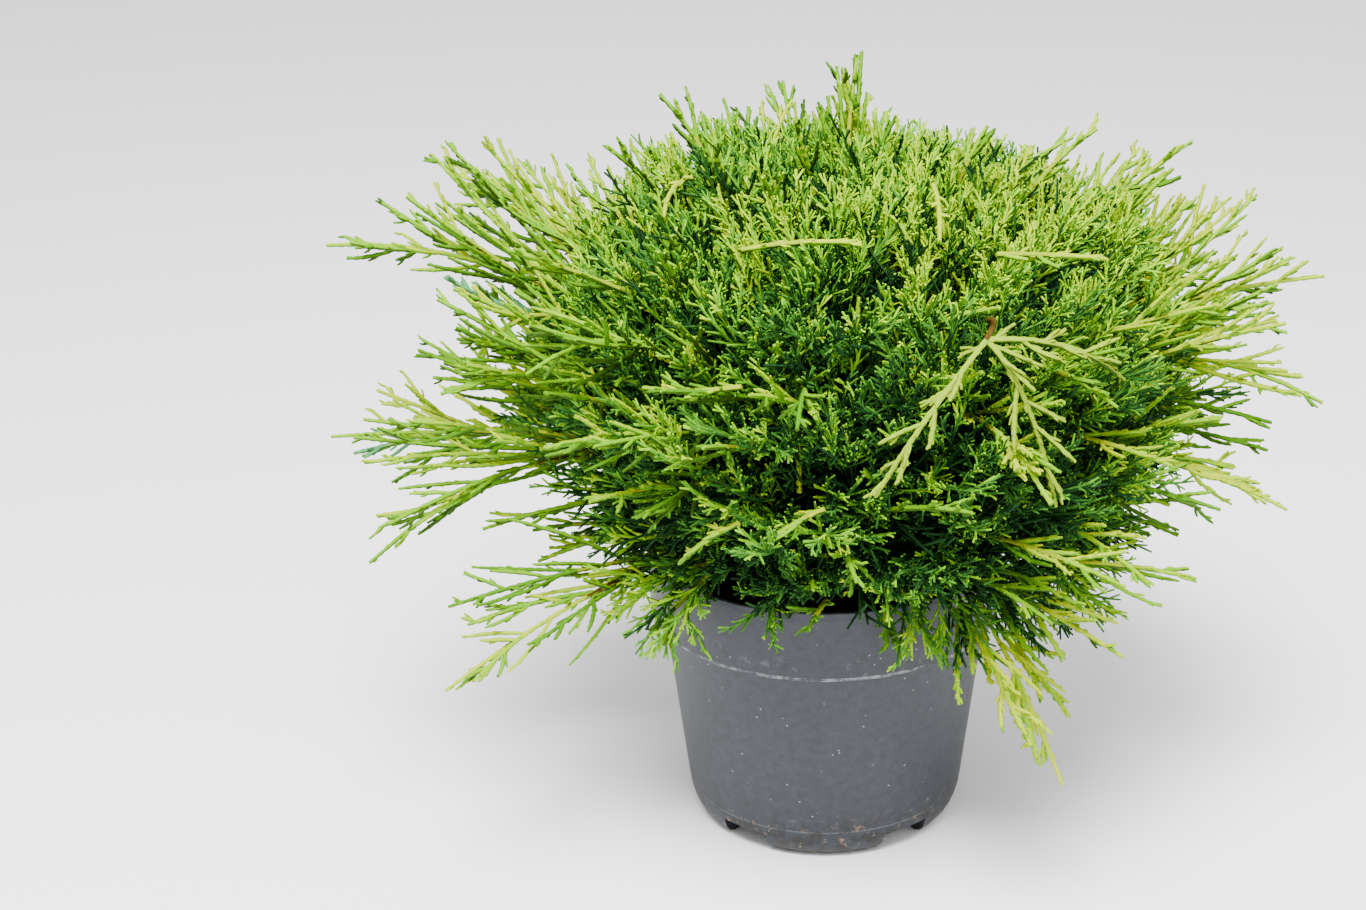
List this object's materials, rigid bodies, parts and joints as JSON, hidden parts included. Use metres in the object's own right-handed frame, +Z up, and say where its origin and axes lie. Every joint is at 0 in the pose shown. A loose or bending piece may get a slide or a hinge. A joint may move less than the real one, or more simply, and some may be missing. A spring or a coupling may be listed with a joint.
{
  "type": "potted juniper shrub",
  "caption": "Low spreading juniper with feathery yellow-green shoots, growing in a round grey plastic nursery pot.",
  "frame": {"origin": "on the pot's axis, at the level that the pot's feet and hub stand on", "axes": "+Z up, +X to the right of a viewer in front of the plant, -Y towards that viewer"},
  "size_m": [0.4254, 0.3158, 0.3361],
  "materials": {
    "pot_plastic": "moulded polypropylene, matt grey with light scuffs",
    "soil": "damp dark potting soil",
    "bark": "thin flaking brown bark",
    "foliage": "scale-leaved shoots, lime green with pale gold tips"
  },
  "bodies": {
    "root": {"bough_lower_back": "bark", "bough_lower_back_left": "bark", "bough_lower_back_right": "bark", "bough_lower_front": "bark", "bough_lower_front_left": "bark", "bough_lower_front_long": "bark", "bough_lower_left": "bark", "bough_lower_left_long": "bark", "bough_lower_right": "bark", "bough_middle_back_left": "bark", "bough_middle_back_right": "bark", "bough_middle_front_left": "bark", "bough_middle_front_right": "bark", "bough_middle_left": "bark", "bough_middle_left_front": "bark", "bough_middle_right": "bark", "bough_top_back": "bark", "bough_top_centre": "bark", "bough_top_front_left": "bark", "bough_top_front_right": "bark", "bough_upper_back": "bark", "bough_upper_back_left": "bark", "bough_upper_back_right": "bark", "bough_upper_front": "bark", "bough_upper_front_left": "bark", "bough_upper_front_right": "bark", "bough_upper_left": "bark", "bough_upper_right": "bark", "foliage_lower_back": "foliage", "foliage_lower_back_left": "foliage", "foliage_lower_back_right": "foliage", "foliage_lower_front": "foliage", "foliage_lower_front_left": "foliage", "foliage_lower_front_long": "foliage", "foliage_lower_left": "foliage", "foliage_lower_left_long": "foliage", "foliage_lower_right": "foliage", "foliage_middle_back_left": "foliage", "foliage_middle_back_right": "foliage", "foliage_middle_front_left": "foliage", "foliage_middle_front_right": "foliage", "foliage_middle_left": "foliage", "foliage_middle_left_front": "foliage", "foliage_middle_right": "foliage", "foliage_top_back": "foliage", "foliage_top_centre": "foliage", "foliage_top_front_left": "foliage", "foliage_top_front_right": "foliage", "foliage_upper_back": "foliage", "foliage_upper_back_left": "foliage", "foliage_upper_back_right": "foliage", "foliage_upper_front": "foliage", "foliage_upper_front_left": "foliage", "foliage_upper_front_right": "foliage", "foliage_upper_left": "foliage", "foliage_upper_right": "foliage", "pot": "pot_plastic", "soil": "soil", "trunk": "bark"}
  },
  "joints": []
}
